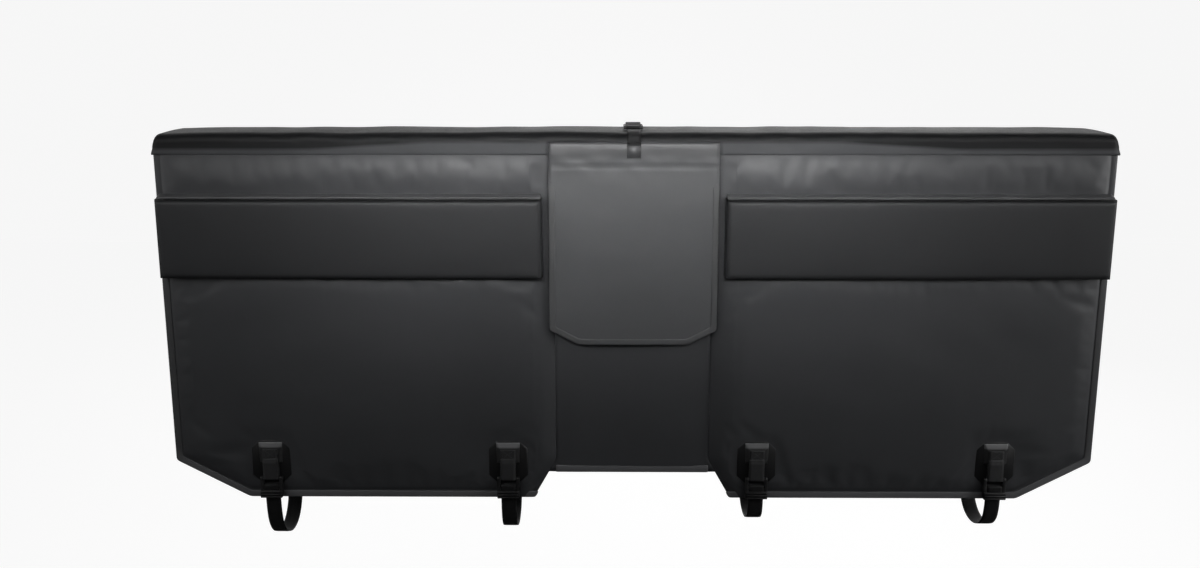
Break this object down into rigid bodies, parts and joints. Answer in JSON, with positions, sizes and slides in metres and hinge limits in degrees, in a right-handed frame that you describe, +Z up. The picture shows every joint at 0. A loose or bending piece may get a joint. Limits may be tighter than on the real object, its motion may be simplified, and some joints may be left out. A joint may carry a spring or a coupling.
{
  "type": "tailgate pad",
  "caption": "Black padded cover that hangs over a pickup tailgate to carry bikes, with bumper blocks, a lifting access flap, ladder locks and webbing loops.",
  "frame": {"origin": "middle of the flat underside of the top pad, where it rests on the tailgate's top edge", "axes": "+X along the tailgate to the right as seen from outside, +Y from outside into the truck bed, +Z up"},
  "size_m": [1.55, 0.143, 0.727],
  "materials": {
    "coated_fabric": "matt black PVC-coated fabric with a fine cloth texture",
    "foam": "closed-cell foam",
    "liner": "brushed fleece",
    "hem_tape": "coated tape, slightly glossier than the cover",
    "welded_patch": "smooth welded coated fabric",
    "webbing": "woven nylon or polyester webbing",
    "buckle_plastic": "moulded acetal, fine matt grain"
  },
  "bodies": {
    "pad": {"front_cover_left": "coated_fabric", "front_cover_right": "coated_fabric", "front_foam_left": "foam", "front_foam_right": "foam", "front_liner_left": "liner", "front_liner_right": "liner", "hem_left": "hem_tape", "hem_right": "hem_tape", "centre_panel": "coated_fabric", "window_binding": "hem_tape", "centre_hem": "hem_tape", "bumper_cover_left": "coated_fabric", "bumper_cover_right": "coated_fabric", "bumper_foam_left": "foam", "bumper_foam_right": "foam", "top_cover": "coated_fabric", "top_foam": "foam", "top_liner": "liner", "top_seam": "hem_tape", "rear_cover": "coated_fabric", "rear_foam": "foam", "rear_liner": "liner", "header_foam": "foam", "header_cover": "coated_fabric", "flap_header": "coated_fabric", "keeper_patch": "webbing", "keeper_webbing": "webbing", "anchor_patches": "welded_patch", "anchor_pads": "webbing", "lock_tabs": "webbing", "rear_anchor_patches": "welded_patch", "bike_strap_anchors": "webbing", "tie_down_strap_1": "webbing", "tie_down_strap_2": "webbing", "tie_down_strap_3": "webbing", "tie_down_strap_4": "webbing"},
    "flap": {"access_flap": "coated_fabric", "flap_hem": "hem_tape"},
    "keeper": {"keeper_buckle": "buckle_plastic"},
    "lock_1": {"ladder_lock_1": "buckle_plastic", "threaded_webbing_1": "webbing"},
    "lock_2": {"ladder_lock_2": "buckle_plastic", "threaded_webbing_2": "webbing"},
    "lock_3": {"ladder_lock_3": "buckle_plastic", "threaded_webbing_3": "webbing"},
    "lock_4": {"ladder_lock_4": "buckle_plastic", "threaded_webbing_4": "webbing"},
    "bike_strap_body_1": {"bike_strap_1": "webbing", "bike_buckle_1": "buckle_plastic"},
    "bike_strap_body_2": {"bike_strap_2": "webbing", "bike_buckle_2": "buckle_plastic"},
    "bike_strap_body_3": {"bike_strap_3": "webbing", "bike_buckle_3": "buckle_plastic"},
    "bike_strap_body_4": {"bike_strap_4": "webbing", "bike_buckle_4": "buckle_plastic"},
    "bike_strap_body_5": {"bike_strap_5": "webbing", "bike_buckle_5": "buckle_plastic"},
    "bike_strap_body_6": {"bike_strap_6": "webbing", "bike_buckle_6": "buckle_plastic"}
  },
  "joints": [
    {"name": "flap_hinge", "type": "hinge", "parent": "pad", "child": "flap", "pos_m": [0, -0.0573, -0.0393], "axis": [-1, 0, 0], "range_deg": [0, 165]},
    {"name": "keeper_hinge", "type": "hinge", "parent": "pad", "child": "keeper", "pos_m": [0, -0.014, 0.0191], "axis": [1, 0, 0], "range_deg": [0, 90]},
    {"name": "lock_hinge_1", "type": "hinge", "parent": "pad", "child": "lock_1", "pos_m": [-0.612, -0.0597, -0.573], "axis": [-1, 0, 0], "range_deg": [0, 50]},
    {"name": "lock_hinge_2", "type": "hinge", "parent": "pad", "child": "lock_2", "pos_m": [-0.21, -0.0597, -0.573], "axis": [-1, 0, 0], "range_deg": [0, 50]},
    {"name": "lock_hinge_3", "type": "hinge", "parent": "pad", "child": "lock_3", "pos_m": [0.21, -0.0597, -0.573], "axis": [-1, 0, 0], "range_deg": [0, 50]},
    {"name": "lock_hinge_4", "type": "hinge", "parent": "pad", "child": "lock_4", "pos_m": [0.612, -0.0597, -0.573], "axis": [-1, 0, 0], "range_deg": [0, 50]},
    {"name": "bike_strap_hinge_1", "type": "hinge", "parent": "pad", "child": "bike_strap_body_1", "pos_m": [-0.65, 0.0555, -0.067], "axis": [1, 0, 0], "range_deg": [0, 150]},
    {"name": "bike_strap_hinge_2", "type": "hinge", "parent": "pad", "child": "bike_strap_body_2", "pos_m": [-0.39, 0.0555, -0.067], "axis": [1, 0, 0], "range_deg": [0, 150]},
    {"name": "bike_strap_hinge_3", "type": "hinge", "parent": "pad", "child": "bike_strap_body_3", "pos_m": [-0.13, 0.0555, -0.067], "axis": [1, 0, 0], "range_deg": [0, 150]},
    {"name": "bike_strap_hinge_4", "type": "hinge", "parent": "pad", "child": "bike_strap_body_4", "pos_m": [0.13, 0.0555, -0.067], "axis": [1, 0, 0], "range_deg": [0, 150]},
    {"name": "bike_strap_hinge_5", "type": "hinge", "parent": "pad", "child": "bike_strap_body_5", "pos_m": [0.39, 0.0555, -0.067], "axis": [1, 0, 0], "range_deg": [0, 150]},
    {"name": "bike_strap_hinge_6", "type": "hinge", "parent": "pad", "child": "bike_strap_body_6", "pos_m": [0.65, 0.0555, -0.067], "axis": [1, 0, 0], "range_deg": [0, 150]}
  ]
}
